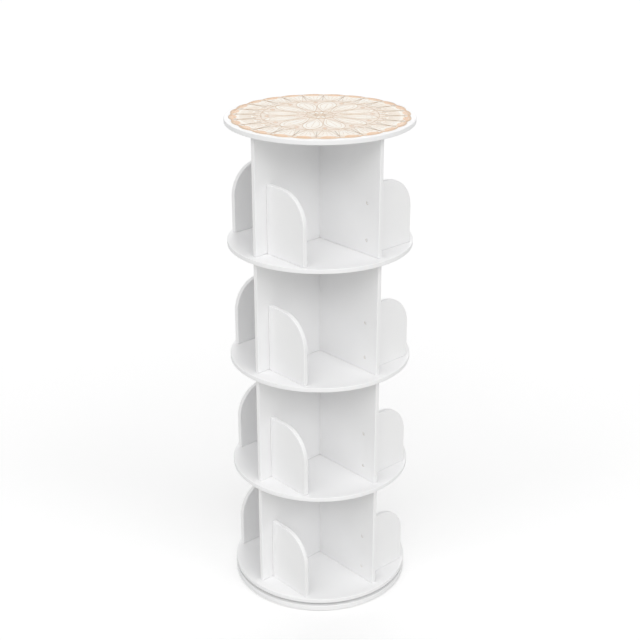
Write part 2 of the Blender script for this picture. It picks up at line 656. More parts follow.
def settled(obj):
    """Makes what the modifiers give into the object's own plain mesh."""
    bpy.context.view_layer.update()
    evaluated = obj.evaluated_get(bpy.context.evaluated_depsgraph_get())
    mesh = bpy.data.meshes.new_from_object(evaluated)
    old = obj.data
    obj.modifiers.clear()
    obj.data = mesh
    if old.users == 0:
        bpy.data.meshes.remove(old)
    return obj


def grown(obj, tree, ids, values):
    """What the tree makes of the object with those inputs becomes the object's own plain mesh."""
    modifier = obj.modifiers.new(tree.name, "NODES")
    modifier.node_group = tree
    for label, value in values.items():
        modifier[ids[label]] = value
    return settled(obj)


def about_axis(obj, count, material, second=None, first_angle=0.0):
    """Copies of the object's mesh about the Z axis."""
    return grown(obj, COPIES, COPIES_IDS, {
        "Count": count, "First angle": first_angle,
        "Material": material, "Second material": second or material})


def clean(bm):
    """Merges points that coincide, and turns all faces outwards."""
    bmesh.ops.remove_doubles(bm, verts=bm.verts, dist=SAME_POINT)
    bmesh.ops.recalc_face_normals(bm, faces=bm.faces)


def mesh_of(bm, name):
    """The finished shape as a new mesh. The bmesh is freed."""
    mesh = bpy.data.meshes.new(name)
    bm.to_mesh(mesh)
    bm.free()
    return mesh


def row_at(bm, r, z, angles):
    """A row of points round the Z axis, or the one point on it."""
    if r == 0:
        return [bm.verts.new((0, 0, z))]
    return [bm.verts.new((r * math.cos(a), r * math.sin(a), z)) for a in angles]


def bridge(bm, lower, upper):
    """Faces between two closed rows of points. A row of one point is a tip."""
    steps = max(len(lower), len(upper))
    for k in range(steps):
        n = (k + 1) % steps
        corners = [lower[k % len(lower)], lower[n % len(lower)], upper[n % len(upper)], upper[k % len(upper)]]
        unique = [v for i, v in enumerate(corners) if v not in corners[:i]]
        if len(unique) > 2:
            bm.faces.new(unique)


def turned(name, profile, steps, ring=False):
    """A solid turned about Z from points (radius, height). The line runs from axis to axis, or is a closed
    ring. It starts half a step round, so that its flats lie square to X and Y and no corner passes the true
    size."""
    bm = bmesh.new()
    angles = [2 * math.pi * (k + 0.5) / steps for k in range(steps)]
    rows = [row_at(bm, r, z, angles) for r, z in profile]
    pairs = list(zip(rows, rows[1:]))
    if ring:
        pairs.append((rows[-1], rows[0]))
    for lower, upper in pairs:
        bridge(bm, lower, upper)
    clean(bm)
    return mesh_of(bm, name)


def arc(cx, cz, r, start, end, steps):
    """Points on an arc, angles in degrees."""
    return [(cx + r * math.cos(math.radians(a)), cz + r * math.sin(math.radians(a)))
            for a in np.linspace(start, end, steps + 1)]


def smooth_by_angle(mesh, degrees=32):
    """Smooth shading, but for edges that turn by more than that angle."""
    mesh.shade_smooth()
    mesh.set_sharp_from_angle(angle=math.radians(degrees))


def weighted(obj):
    """Big flat faces keep their flat shading, and the small rounds between them turn the light."""
    big_face_weight = 80
    smooth_by_angle(obj.data)
    modifier = obj.modifiers.new("weighted", "WEIGHTED_NORMAL")
    modifier.keep_sharp = True
    modifier.weight = big_face_weight
    settled(obj)


def mark_edges(mesh):
    """Stores cut_edge, 1 on all faces of a board but its two flat sides, which face along Z."""
    level = 0.99
    attribute = mesh.attributes.new("cut_edge", "FLOAT", "FACE")
    attribute.data.foreach_set("value", [float(abs(p.normal.z) < level) for p in mesh.polygons])


def turn_by(degrees, axis="Z"):
    """The matrix that turns by that angle."""
    return Matrix.Rotation(math.radians(degrees), 4, axis)


def shift_by(x, y, z):
    """The matrix that moves by that much."""
    return Matrix.Translation((x, y, z))


UPSIDE_DOWN = turn_by(180, "X")


def placed(mesh, matrix):
    """A copy of the mesh, moved by that matrix."""
    copy = mesh.copy()
    copy.transform(matrix)
    return copy


def joined(name, meshes):
    """One mesh with the given ones side by side."""
    bm = bmesh.new()
    for mesh in meshes:
        bm.from_mesh(mesh)
    return mesh_of(bm, name)


def cut_out(obj, cutter):
    """Cuts the cutter's shape out of the object, and removes the cutter."""
    modifier = obj.modifiers.new("cut", "BOOLEAN")
    modifier.operation = "DIFFERENCE"
    modifier.solver = "EXACT"
    modifier.object = cutter
    settled(obj)
    bpy.data.objects.remove(cutter)


def drilled(obj, cutters):
    """Cuts the joined cutter meshes out of the object. The walls of the cuts are raw board."""
    cutter = new_object("cutter", joined("cutter", cutters))
    cutter.data.materials.clear()
    cutter.data.materials.append(obj.data.materials[0])
    cutter.data.materials.append(RAW_MDF)
    cutter.data.polygons.foreach_set("material_index", [1] * len(cutter.data.polygons))
    obj.data.materials.append(RAW_MDF)
    cut_out(obj, cutter)


def quarter_turns(mesh):
    """A copy of the mesh on each of the four arms."""
    return [placed(mesh, turn_by(a)) for a in (0, 90, 180, 270)]


# Screws and their holes: heads or mouths at z = 0, pointing down

def screw_mesh(length):
    """A countersunk wood screw: a turned head, a short neck, and a thread that fades into the point. The
    thread is a grid of points wound round the core, four to a turn, of which the third stands out."""
    sides, pitch, core, tip = 14, 1.7 * MM, 1.15 * MM, 3 * MM
    neck, shoulder, rim_round = 1.2 * MM, 0.3 * MM, 0.12 * MM
    neck_end = -HEAD_H - neck
    top, low = neck_end - shoulder, -length + tip
    angles = [2 * math.pi * k / sides for k in range(sides)]
    line = [(0, -SINK), (HEAD_R - rim_round, -SINK), (HEAD_R, -SINK - rim_round),
            (HEAD_R, -SINK - HEAD_EDGE), (SHANK_R, -SINK - HEAD_H), (SHANK_R, neck_end),
            (core, top), (core, low), (0, -length)]
    bm = bmesh.new()
    rows = [row_at(bm, r, z, angles) for r, z in line]
    for lower, upper in zip(rows, rows[1:]):
        if upper is not rows[-2]:  # the thread fills this gap
            bridge(bm, lower, upper)
    shares = (0.0, 0.28, 0.5, 0.72)
    crest = 0.5
    per_turn = len(shares)
    turns = int((top - low) / pitch) + 3
    grid = []
    for i in range(turns * per_turn):
        share = shares[i % per_turn]
        start = top + pitch - (i // per_turn + share) * pitch
        row = []
        for k, a in enumerate(angles):
            z = start - pitch * k / sides
            inside = low < z < top
            fade = min(1.0, (top - z) / pitch, (z - low) / (2 * pitch)) if inside else 0.0
            r = core + (SHANK_R - core) * fade * (share == crest)
            z = min(top, max(low, z))
            row.append(bm.verts.new((r * math.cos(a), r * math.sin(a), z)))
        grid.append(row)
    for i in range(len(grid) - 1):
        for k in range(sides):
            if k < sides - 1:
                corners = [grid[i][k], grid[i][k + 1], grid[i + 1][k + 1], grid[i + 1][k]]
            elif i + per_turn + 1 < len(grid):
                corners = [grid[i][k], grid[i + per_turn][0], grid[i + per_turn + 1][0], grid[i + 1][k]]
            else:
                continue
            bm.faces.new(corners)
    bmesh.ops.remove_doubles(bm, verts=bm.verts, dist=10 * SAME_POINT)
    bmesh.ops.dissolve_degenerate(bm, edges=bm.edges, dist=SAME_POINT)
    bmesh.ops.recalc_face_normals(bm, faces=bm.faces)
    return mesh_of(bm, "screw")


def cross_recess():
    """A tapering cross, the shape that a driver's tip fills in a screw head. Its sections are given by their
    height, the reach of the arms and half their width."""
    bm = bmesh.new()
    rings = []
    for z, reach, half in ((-SINK + 0.5 * MM, 2.3 * MM, 0.5 * MM), (-SINK, 2.0 * MM, 0.45 * MM),
                           (-SINK - 1.4 * MM, 0.9 * MM, 0.3 * MM)):
        plus = [(reach, half), (half, half), (half, reach), (-half, reach),
                (-half, half), (-reach, half), (-reach, -half), (-half, -half),
                (-half, -reach), (half, -reach), (half, -half), (reach, -half)]
        rings.append([bm.verts.new((x, y, z)) for x, y in plus])
    for lower, upper in zip(rings, rings[1:]):
        bridge(bm, lower, upper)
    bm.faces.new(rings[0])
    bm.faces.new(rings[-1])
    clean(bm)
    return mesh_of(bm, "recess")


def wood_screw(length):
    """One finished screw mesh. second_finish marks the faces of the head, which may be painted."""
    obj = new_object("screw", screw_mesh(length))
    obj.data.materials.append(ZINC)
    cut_out(obj, new_object("recess", cross_recess()))
    smooth_by_angle(obj.data, degrees=40)
    flags = obj.data.attributes.new("second_finish", "BOOLEAN", "FACE")
    flags.data.foreach_set("value", [p.center.z > -SINK - HEAD_H for p in obj.data.polygons])
    mesh = obj.data.copy()
    bpy.data.objects.remove(obj)
    return mesh


def hole_cutter(depth, countersunk=False, radius=SHANK_R + PLAY, steps=32):
    """Cutter for a hole of that depth, with its mouth at z = 0, countersunk for a screw head or plain."""
    if countersunk:
        mouth = HEAD_R + PLAY
        seat = -SINK - HEAD_EDGE - PLAY
        line = [(0, SPARE), (mouth, SPARE), (mouth, seat), (radius, seat - HEAD_H + HEAD_EDGE)]
    else:
        line = [(0, SPARE), (radius, SPARE)]
    return turned("hole", line + [(radius, -depth), (0, -depth)], steps)


def at_fixings(mesh, z, upside_down=False):
    """The mesh at the two fixings of the arm that points to +X."""
    turn = UPSIDE_DOWN if upside_down else Matrix.Identity(4)
    return [placed(mesh, shift_by(r, 0, z) @ turn) for r in (FIXING_INNER, FIXING_OUTER)]


def at_bookend_screws(mesh, floor):
    """The mesh at the two bookend screws of the arm that points to +X, driven from its -Y side."""
    return [placed(mesh, shift_by(BOOKEND_MID, -DIVIDER_T / 2, floor + z) @ turn_by(90, "X"))
            for z in BOOKEND_SCREWS]


def all_round(meshes):
    """Copies of all the meshes on each of the four arms."""
    return [m for mesh in meshes for m in quarter_turns(mesh)]


# Pieces

def dress(obj, body, slot, *nodes):
    """The piece rides on its body, stands for those CAD nodes and takes its finish from that slot."""
    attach(obj, body)
    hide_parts(*nodes)
    return obj


def round_board(node, body, low, high, cutters):
    """A round board with an eased rim, and its holes. Rows of points within the rim keep its sides level."""
    e = EASE_RIM
    rim_steps = 5
    line = [(0, low), (BOARD_R / 2, low), (BOARD_R - 4 * e, low)]
    line += arc(BOARD_R - e, low + e, e, -90, 0, rim_steps)
    line += arc(BOARD_R - e, high - e, e, 0, 90, rim_steps)
    line += [(BOARD_R - 4 * e, high), (BOARD_R / 2, high), (0, high)]
    obj = new_object(node + "_finished", turned(node, line, BOARD_STEPS))
    obj.data.materials.append(LACQUER)
    mark_edges(obj.data)
    drilled(obj, cutters)
    weighted(obj)
    return dress(obj, body, "painted_board", node)


def outline_board(name, outline, thickness, ease):
    """A flat board of that outline in its XY plane, thickness about z = 0, with all its edges eased."""
    bm = bmesh.new()
    sides = [[bm.verts.new((x, y, z)) for x, y in outline] for z in (-thickness / 2, thickness / 2)]
    bm.faces.new(sides[0][::-1])
    bm.faces.new(sides[1])
    bridge(bm, *sides)
    bmesh.ops.recalc_face_normals(bm, faces=bm.faces)
    sharp_angle = math.radians(30)
    edges = [e for e in bm.edges if e.calc_face_angle() > sharp_angle]
    bmesh.ops.bevel(bm, geom=edges, offset=ease, segments=4, profile=0.5, affect="EDGES", clamp_overlap=True)
    clean(bm)
    mesh = mesh_of(bm, name)
    mark_edges(mesh)
    mesh.materials.append(LACQUER)
    return mesh


def divider(node, t, along_x):
    """A full-height divider with its half-height slot, dowel and screw holes."""
    floor = FLOOR_Z[t - 1]
    ceiling = floor + TIER_CLEAR
    outline = [(-REACH, 0), (REACH, 0), (REACH, TIER_CLEAR), (-REACH, TIER_CLEAR)]
    plain = outline_board(node, outline, DIVIDER_T, EASE_BOARD)
    plain.transform(shift_by(0, 0, floor) @ turn_by(90, "X"))
    obj = new_object(node + "_finished", plain)
    over = 2 * MM
    slot_w = 2 * (DIVIDER_T / 2 + PLAY)
    slot_h = TIER_CLEAR / 2 + PLAY
    slot_low, slot_high = (ceiling - slot_h, ceiling + over) if along_x else (floor - over, floor + slot_h)
    slot = bmesh.new()
    bmesh.ops.create_cube(slot, size=1.0)
    bmesh.ops.transform(slot, verts=slot.verts, matrix=shift_by(0, 0, (slot_low + slot_high) / 2)
                        @ Matrix.Diagonal((slot_w, DIVIDER_T + 2 * over, slot_high - slot_low, 1)))
    cutters = [mesh_of(slot, "slot")]
    dowel_hole = hole_cutter(DOWEL_DEPTH + PLAY, radius=DOWEL_R + PLAY)
    pilot = hole_cutter(SCREW_LEN + SINK - (TOP_Z - TOP_LOW) + SPARE)
    ends = at_fixings(pilot if t == 1 else dowel_hole, floor, upside_down=True)
    ends += at_fixings(pilot if t == TIERS else dowel_hole, ceiling)
    ends += at_bookend_screws(hole_cutter(DIVIDER_T + SPARE, countersunk=True), floor)
    for mesh in ends:
        cutters += [mesh, placed(mesh, turn_by(180))]
    drilled(obj, cutters)
    if not along_x:
        obj.data.transform(turn_by(90))
    weighted(obj)
    return dress(obj, "tower", "painted_board", node)


def bookend_board():
    """The bookend on the arm that points to +X, at height 0: rounded at its free upper corner."""
    foot = DIVIDER_T / 2
    width = BOOKEND_END - foot
    r = BOOKEND_ROUND
    outline = [(0, 0), (width, 0)] + arc(width - r, BOOKEND_H - r, r, 0, 90, steps=40) + [(0, BOOKEND_H)]
    mesh = outline_board("bookend", outline, BOOKEND_OUT - BOOKEND_IN, EASE_BOARD)
    outline_to_y_and_z = Matrix(((0, 0, 1, BOOKEND_MID), (1, 0, 0, foot), (0, 1, 0, 0), (0, 0, 0, 1)))
    mesh.transform(outline_to_y_and_z)
    obj = new_object("bookend", mesh)
    drilled(obj, at_bookend_screws(hole_cutter(SCREW_LEN + SINK + SPARE), 0))
    weighted(obj)
    mesh = obj.data.copy()
    bpy.data.objects.remove(obj)
    return mesh


screw_40 = wood_screw(SCREW_LEN)
screw_15 = wood_screw(LOWER_SCREW_LEN)
screw_13 = wood_screw(UPPER_SCREW_LEN)

# Round boards
countersunk_through = hole_cutter(THROUGH_SHELF, countersunk=True)
dowel_through = hole_cutter(THROUGH_SHELF, radius=DOWEL_R + PLAY)
ring_pilot_low = hole_cutter(LOWER_SCREW_LEN - (LOWER_RING_TOP - LOWER_RING_LOW) + SINK + SPARE)
ring_pilot_up = hole_cutter(UPPER_SCREW_LEN - (UPPER_RING_TOP - UPPER_RING_LOW) + SINK + SPARE)

access = placed(hole_cutter(THROUGH_BASE, radius=ACCESS_R, steps=48),
                turn_by(45) @ shift_by(UPPER_SCREW_R, 0, BASE_TOP))
round_board("base_disc", "base", BASE_LOW, BASE_TOP,
            quarter_turns(placed(ring_pilot_low, shift_by(LOWER_SCREW_R, 0, BASE_TOP))) + [access])
for t in range(1, TIERS + 1):
    low, high = SHELF_LOW[t - 1], FLOOR_Z[t - 1]
    if t == 1:
        cuts = all_round(at_fixings(countersunk_through, low, upside_down=True))
        cuts += quarter_turns(placed(ring_pilot_up, shift_by(UPPER_SCREW_R, 0, low) @ UPSIDE_DOWN))
    else:
        cuts = all_round(at_fixings(dowel_through, high))
    round_board(f"shelf_{t}", "tower", low, high, cuts)
round_board("top_board", "tower", TOP_LOW, TOP_Z, all_round(at_fixings(countersunk_through, TOP_Z)))

# Dividers and bookends
for t in range(1, TIERS + 1):
    divider(f"divider_x_{t}", t, along_x=True)
    divider(f"divider_y_{t}", t, along_x=False)
one_bookend = bookend_board()
for t in range(1, TIERS + 1):
    for k in range(1, ARMS + 1):
        mesh = placed(one_bookend, shift_by(0, 0, FLOOR_Z[t - 1]) @ turn_by(90 * (k - 1)))
        dress(new_object(f"bookend_{t}_{k}_finished", mesh), "tower", "painted_board", f"bookend_{t}_{k}")


# Screws
def screw_group(node, body, slot, singles, material, second=None):
    """The screws of one arm, repeated on each arm. Their heads may have a second material."""
    obj = new_object(node + "_finished", joined(node, singles))
    about_axis(obj, ARMS, material, second)
    return dress(obj, body, slot, node)


screw_group("bottom_screws", "tower", "zinc_screw",
            at_fixings(screw_40, SHELF_LOW[0], upside_down=True), ZINC)
screw_group("top_screws", "tower", "zinc_screw", at_fixings(screw_40, TOP_Z), ZINC)
screw_group("lower_ring_screws", "base", "zinc_screw",
            [placed(screw_15, shift_by(LOWER_SCREW_R, 0, LOWER_RING_TOP))], ZINC)
screw_group("upper_ring_screws", "tower", "zinc_screw",
            [placed(screw_13, shift_by(UPPER_SCREW_R, 0, UPPER_RING_LOW) @ UPSIDE_DOWN)], ZINC)
for t in range(1, TIERS + 1):
    screw_group(f"bookend_screws_{t}", "tower", "painted_screw",
                at_bookend_screws(screw_40, FLOOR_Z[t - 1]), ZINC, HEAD_PAINT)


# Dowels
def dowel_mesh(low, high):
    """A rod with chamfered ends and pressed flutes, from one height to the other."""
    flutes, per_flute = 12, 4
    steps = flutes * per_flute
    chamfer, flute_depth = 0.6 * MM, 0.22 * MM
    angles = [2 * math.pi * k / steps for k in range(steps)]
    bm = bmesh.new()
    rows = []
    for r, z in ((0, low), (DOWEL_R - chamfer, low), (DOWEL_R, low + chamfer), (DOWEL_R, high - chamfer),
                 (DOWEL_R - chamfer, high), (0, high)):
        rows.append(row_at(bm, r, z, angles))
        if r == DOWEL_R:
            for v, a in list(zip(rows[-1], angles))[::per_flute]:
                v.co = ((r - flute_depth) * math.cos(a), (r - flute_depth) * math.sin(a), z)
    for lower, upper in zip(rows, rows[1:]):
        bridge(bm, lower, upper)
    clean(bm)
    mesh = mesh_of(bm, "dowel")
    smooth_by_angle(mesh, degrees=25)
    return mesh


for t in range(2, TIERS + 1):
    one_dowel = dowel_mesh(SHELF_LOW[t - 1] - DOWEL_DEPTH, FLOOR_Z[t - 1] + DOWEL_DEPTH)
    group = new_object(f"dowels_{t}_finished", joined("dowels", at_fixings(one_dowel, 0)))
    about_axis(group, ARMS, BEECH)
    dress(group, "tower", "beech_dowel", f"dowels_{t}")


# Ring bearing
def bearing_ring(node, body, inner, outer, low, high, groove_at_inner, screw_r, screws_from_top):
    """A turned ring with eased edges, its half of the ball groove, and countersunk holes."""
    steps, groove_steps, c = 240, 12, 0.4 * MM
    reach = abs((inner if groove_at_inner else outer) - RACE_R)
    half = math.degrees(math.acos(reach / GROOVE_R))
    line = [(outer - c, low), (outer, low + c)]
    if not groove_at_inner:
        line += arc(RACE_R, RACE_Z, GROOVE_R, 180 + half, 180 - half, groove_steps)
    line += [(outer, high - c), (outer - c, high), (inner + c, high), (inner, high - c)]
    if groove_at_inner:
        line += arc(RACE_R, RACE_Z, GROOVE_R, half, -half, groove_steps)
    line += [(inner, low + c), (inner + c, low)]
    obj = new_object(node + "_finished", turned(node, line, steps, ring=True))
    obj.data.materials.append(ALUMINIUM)
    mouth = shift_by(screw_r, 0, high) if screws_from_top else shift_by(screw_r, 0, low) @ UPSIDE_DOWN
    drilled(obj, quarter_turns(placed(hole_cutter(high - low + SPARE, countersunk=True), mouth)))
    obj.data.materials[1] = ALUMINIUM
    weighted(obj)
    return dress(obj, body, "bearing_ring", node)


bearing_ring("bearing_lower_ring", "base", LOWER_RING_IN, LOWER_RING_IN + RING_W,
             LOWER_RING_LOW, LOWER_RING_TOP, groove_at_inner=True,
             screw_r=LOWER_SCREW_R, screws_from_top=True)
bearing_ring("bearing_upper_ring", "tower", UPPER_RING_OUT - RING_W, UPPER_RING_OUT,
             UPPER_RING_LOW, UPPER_RING_TOP, groove_at_inner=False,
             screw_r=UPPER_SCREW_R, screws_from_top=False)

low, high = RACE_Z - CAGE_H / 2, RACE_Z + CAGE_H / 2
inner, outer, c = RACE_R - CAGE_T / 2, RACE_R + CAGE_T / 2, 0.15 * MM
cage = new_object("ball_cage_finished", turned("cage", [
    (outer - c, low), (outer, low + c), (outer, high - c), (outer - c, high),
    (inner + c, high), (inner, high - c), (inner, low + c), (inner + c, low)], steps=360, ring=True))
cage.data.materials.append(NYLON)
over = 3 * MM
hole = turned("cage_hole", [(0, -over), (CAGE_HOLE_R, -over), (CAGE_HOLE_R, over), (0, over)], steps=24)
hole.transform(shift_by(RACE_R, 0, RACE_Z) @ turn_by(90, "Y"))
holes = about_axis(new_object("cage_holes", hole), BALLS, NYLON)
drilled(cage, [holes.data])
cage.data.materials[1] = NYLON
bpy.data.objects.remove(holes)
weighted(cage)
dress(cage, "ball_race", "cage_nylon", "ball_cage")

bm = bmesh.new()
bmesh.ops.create_icosphere(bm, subdivisions=4, radius=BALL_R, matrix=shift_by(RACE_R, 0, RACE_Z))
balls = new_object("bearing_balls_finished", mesh_of(bm, "ball"))
balls.data.shade_smooth()
about_axis(balls, BALLS, STEEL)
dress(balls, "ball_race", "bearing_ball", "bearing_balls")

# Floor pads: felt discs, rounder at the floor than under the base disc
foot, head = 0.7 * MM, 0.3 * MM
pad_line = [(0, 0), (PAD_R * 0.6, 0)]
pad_line += arc(PAD_R - foot, foot, foot, -90, 0, steps=4)
pad_line += arc(PAD_R - head, PAD_TOP - head, head, 0, 90, steps=3)
pad_line += [(PAD_R * 0.6, PAD_TOP), (0, PAD_TOP)]
pad = turned("pad", pad_line, steps=64)
smooth_by_angle(pad, degrees=50)
pads = new_object("floor_pads_finished", placed(pad, shift_by(PAD_RING_R, 0, 0)))
about_axis(pads, PADS, FELT)
dress(pads, "base", "felt_pad", "floor_pads")


# Top mat: a net ground, filled petals, and cords of yarn

def polar(r_mm, degrees, z=0.0):
    """The point at that radius, in mm, and angle."""
    a = math.radians(degrees)
    return (r_mm * MM * math.cos(a), r_mm * MM * math.sin(a), z)


def scalloped(degrees, inset=0.0):
    """Radius of the mat's edge at that angle, in mm, less an inset: the outline is made of equal arcs."""
    centre = (MAT_R - SCALLOP_R) / MM
    a = math.radians((degrees % SECTOR) - SECTOR / 2)
    r = SCALLOP_R / MM - inset
    return centre * math.cos(a) + math.sqrt(r * r - (centre * math.sin(a)) ** 2)


def ground_mesh():
    """The scalloped ground as a closed thin sheet with a rounded edge, from insets in mm and heights."""
    steps, rows = 720, 12
    angles = [k * 360 / steps for k in range(steps)]
    points, faces = [], []

    def ring_of(inset, z, share=1.0):
        start = len(points)
        points.extend(polar((scalloped(a) - inset) * share, a, z) for a in angles)
        return start

    top = TOP_Z + GROUND_T
    points.append((0, 0, top))
    rings = [ring_of(0.25, top, share) for share in np.linspace(0, 1, rows + 1)[1:]]
    rings += [ring_of(0.08, top - 0.12 * MM), ring_of(0, TOP_Z + GROUND_T / 2), ring_of(0.15, TOP_Z)]
    rings += [ring_of(0.15, TOP_Z, share) for share in (0.66, 0.33)]
    last = len(points)
    points.append((0, 0, TOP_Z))
    for k in range(steps):
        n = (k + 1) % steps
        faces.append((0, rings[0] + k, rings[0] + n))
        for a, b in zip(rings, rings[1:]):
            faces.append((a + k, b + k, b + n, a + n))
        faces.append((rings[-1] + k, last, rings[-1] + n))
    return mesh_from("ground", points, faces)


ground = new_object("top_mat_ground", ground_mesh())
ground.data.materials.append(NET)
smooth_by_angle(ground.data, degrees=60)
dress(ground, "tower", "lace_mat", "top_mat")


def fill_mesh(sides, dome):
    """A domed filled patch between two lines of points, each a list of (radius in mm, degrees). Its rim
    stands a little over the ground, and its wall goes down into it."""
    across, root = 8, 0.2 * MM
    left, right = sides
    points, faces, along = [], [], []
    for i, (a, b) in enumerate(zip(left, right)):
        pa, pb = Vector(polar(*a)), Vector(polar(*b))
        for j in range(across + 1):
            s = j / across
            p = pa.lerp(pb, s)
            ends = math.sin(math.pi * i / (len(left) - 1)) ** 0.5 if 0 < i < len(left) - 1 else 0
            rise = dome * ends * math.sin(math.pi * s) ** 0.6 if 0 < s < 1 else 0
            points.append((p.x, p.y, TOP_Z + GROUND_T + FILL_RIM + rise))
            along.append(p.length)
    for i in range(len(left) - 1):
        for j in range(across):
            k = i * (across + 1) + j
            faces.append((k, k + 1, k + across + 2, k + across + 1))
    bm = bmesh.new()
    flat = mesh_from("fill", points, faces)
    bm.from_mesh(flat)
    layer = bm.verts.layers.float.new("along")
    bm.verts.ensure_lookup_table()
    for v, value in zip(bm.verts, along):
        v[layer] = value
    rim = [e for e in bm.edges if len(e.link_faces) == 1]
    wall = bmesh.ops.extrude_edge_only(bm, edges=rim)
    for v in (g for g in wall["geom"] if isinstance(g, bmesh.types.BMVert)):
        v.co.z = TOP_Z + GROUND_T - root
    rim = [e for e in bm.edges if len(e.link_faces) == 1]
    bmesh.ops.holes_fill(bm, edges=rim, sides=0)
    clean(bm)
    mesh = mesh_of(bm, "fill")
    smooth_by_angle(mesh, degrees=50)
    return mesh


def petal_sides(r0, r1, widest, count, lean, roundness):
    """The two sides of a pointed petal from r0 to r1 mm, with its greatest half width in degrees. A lean
    below 1 moves the widest place inwards, and a low roundness makes the petal full."""
    left, right = [], []
    tip = 0.02
    for i in range(count + 1):
        s = (1 - math.cos(math.pi * i / count)) / 2
        half = widest * math.sin(math.pi * s ** lean) ** roundness if 0 < i < count else tip
        r = r0 + (r1 - r0) * s
        left.append((r, -half))
        right.append((r, half))
    return left, right


def on_mat(obj):
    """The piece lies on the mat and turns with the tower."""
    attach(obj, "tower")
    return obj


def fills(name, meshes, count, material, first_angle=0.0):
    """Filled figures, copied about the axis."""
    obj = new_object(name, joined(name, meshes))
    about_axis(obj, count, material, first_angle=first_angle)
    return on_mat(obj)


def cords(name, lines, count, material, width, first_angle=0.0):
    """Cords along lines of (radius in mm, degrees), copied about the axis. A line that ends where it starts
    is a loop."""
    points, edges = [], []
    for line in lines:
        loop = line[0] == line[-1]
        here = line[:-1] if loop else line
        start = len(points)
        points += [polar(r, a, CORD_Z) for r, a in here]
        edges += [(start + i, start + i + 1) for i in range(len(here) - 1)]
        if loop:
            edges.append((start + len(here) - 1, start))
    obj = new_object(name, mesh_from(name, points, (), edges))
    grown(obj, CORDS, CORDS_IDS, {
        "Count": count, "First angle": first_angle, "Material": material, "Second material": material,
        "Cord width": width, "Cord height": CORD_H, "Sides": CORD_SIDES})
    obj.data.shade_smooth()
    return on_mat(obj)


def ring_line(r):
    """A circle round the axis, of that radius in mm."""
    step_deg = 1.5
    line = [(r, a) for a in np.arange(0, 360, step_deg)]
    return line + [line[0]]


def mirrored(left):
    """Both sides of a figure that is alike left and right of its spoke, from its left side."""
    return left, [(r, -a) for r, a in left]


def loop_of(sides):
    """The closed line round a figure, up its left side and down its right."""
    left, right = sides
    line = list(left) + list(reversed(right))
    return line + [line[0]]


def eyelet(r, degrees, radius):
    """A small closed ring of that radius in mm, centred at (r, degrees)."""
    steps = 20
    cx, cy, _ = polar(r, degrees)
    line = []
    for k in range(steps):
        a = 2 * math.pi * k / steps
        x, y = cx + radius * MM * math.cos(a), cy + radius * MM * math.sin(a)
        line.append((math.hypot(x, y) / MM, math.degrees(math.atan2(y, x))))
    return line + [line[0]]


# The design, in mm from the centre and degrees from a spoke: a rosette, large petals each with a nested one,
# eyelets with buds between their tips, shells with ribs and arches, and a half moon in each scallop
PETALS = 12
HALF = SECTOR / 2
TURN = math.radians(HALF)
EYELET_AT = 110
PETAL_RING = 123.4
SHELL_LOW, SHELL_FLARE, SHELL_TOP = 124, 46, 8
SHELL_HALF = HALF * 0.95
SHELL_FOOT = 0.24

large_petal = petal_sides(33, 121, widest=14.3, count=28, lean=0.9, roundness=0.66)
nested_petal = petal_sides(44, 111, widest=9.6, count=24, lean=0.9, roundness=0.66)
rosette_petal = petal_sides(8, 29, widest=12.0, count=14, lean=0.9, roundness=0.7)
shell_foot = [(SHELL_LOW - 3 * math.cos(u), -SHELL_FOOT * SHELL_HALF * math.sin(u))
              for u in np.linspace(0.05, math.pi / 2, 5)]
shell_flare = [(SHELL_LOW + SHELL_FLARE * s, -SHELL_HALF * (SHELL_FOOT + (1 - SHELL_FOOT) * s ** 0.62))
               for s in np.linspace(0.04, 1, 16)]
shell_top = [(SHELL_LOW + SHELL_FLARE + SHELL_TOP * math.sin(u), -SHELL_HALF * math.cos(u))
             for u in np.linspace(0.15, math.pi / 2 - 0.04, 9)]
shell = mirrored(shell_foot + shell_flare + shell_top)
moon = mirrored([(173 + 10.5 * s, -4.5 * math.sqrt(max(0.0, 1 - (1 - s) ** 2)))
                 for s in np.linspace(0.004, 1, 9)])
arches = [[(r - 5 * math.cos(u), width * math.sin(u)) for u in np.linspace(-math.pi / 2, math.pi / 2, 13)]
          for r, width in ((134, 2.4), (140, 3.5))]
shell_ribs = [[(143, a * 1.2), (167, a * 2.5)] for a in (-1.5, 0, 1.5)]
bud = mirrored([(EYELET_AT - 2.6 * math.cos(u), -1.35 * math.sin(u))
                for u in np.linspace(0.05, math.pi - 0.05, 9)])

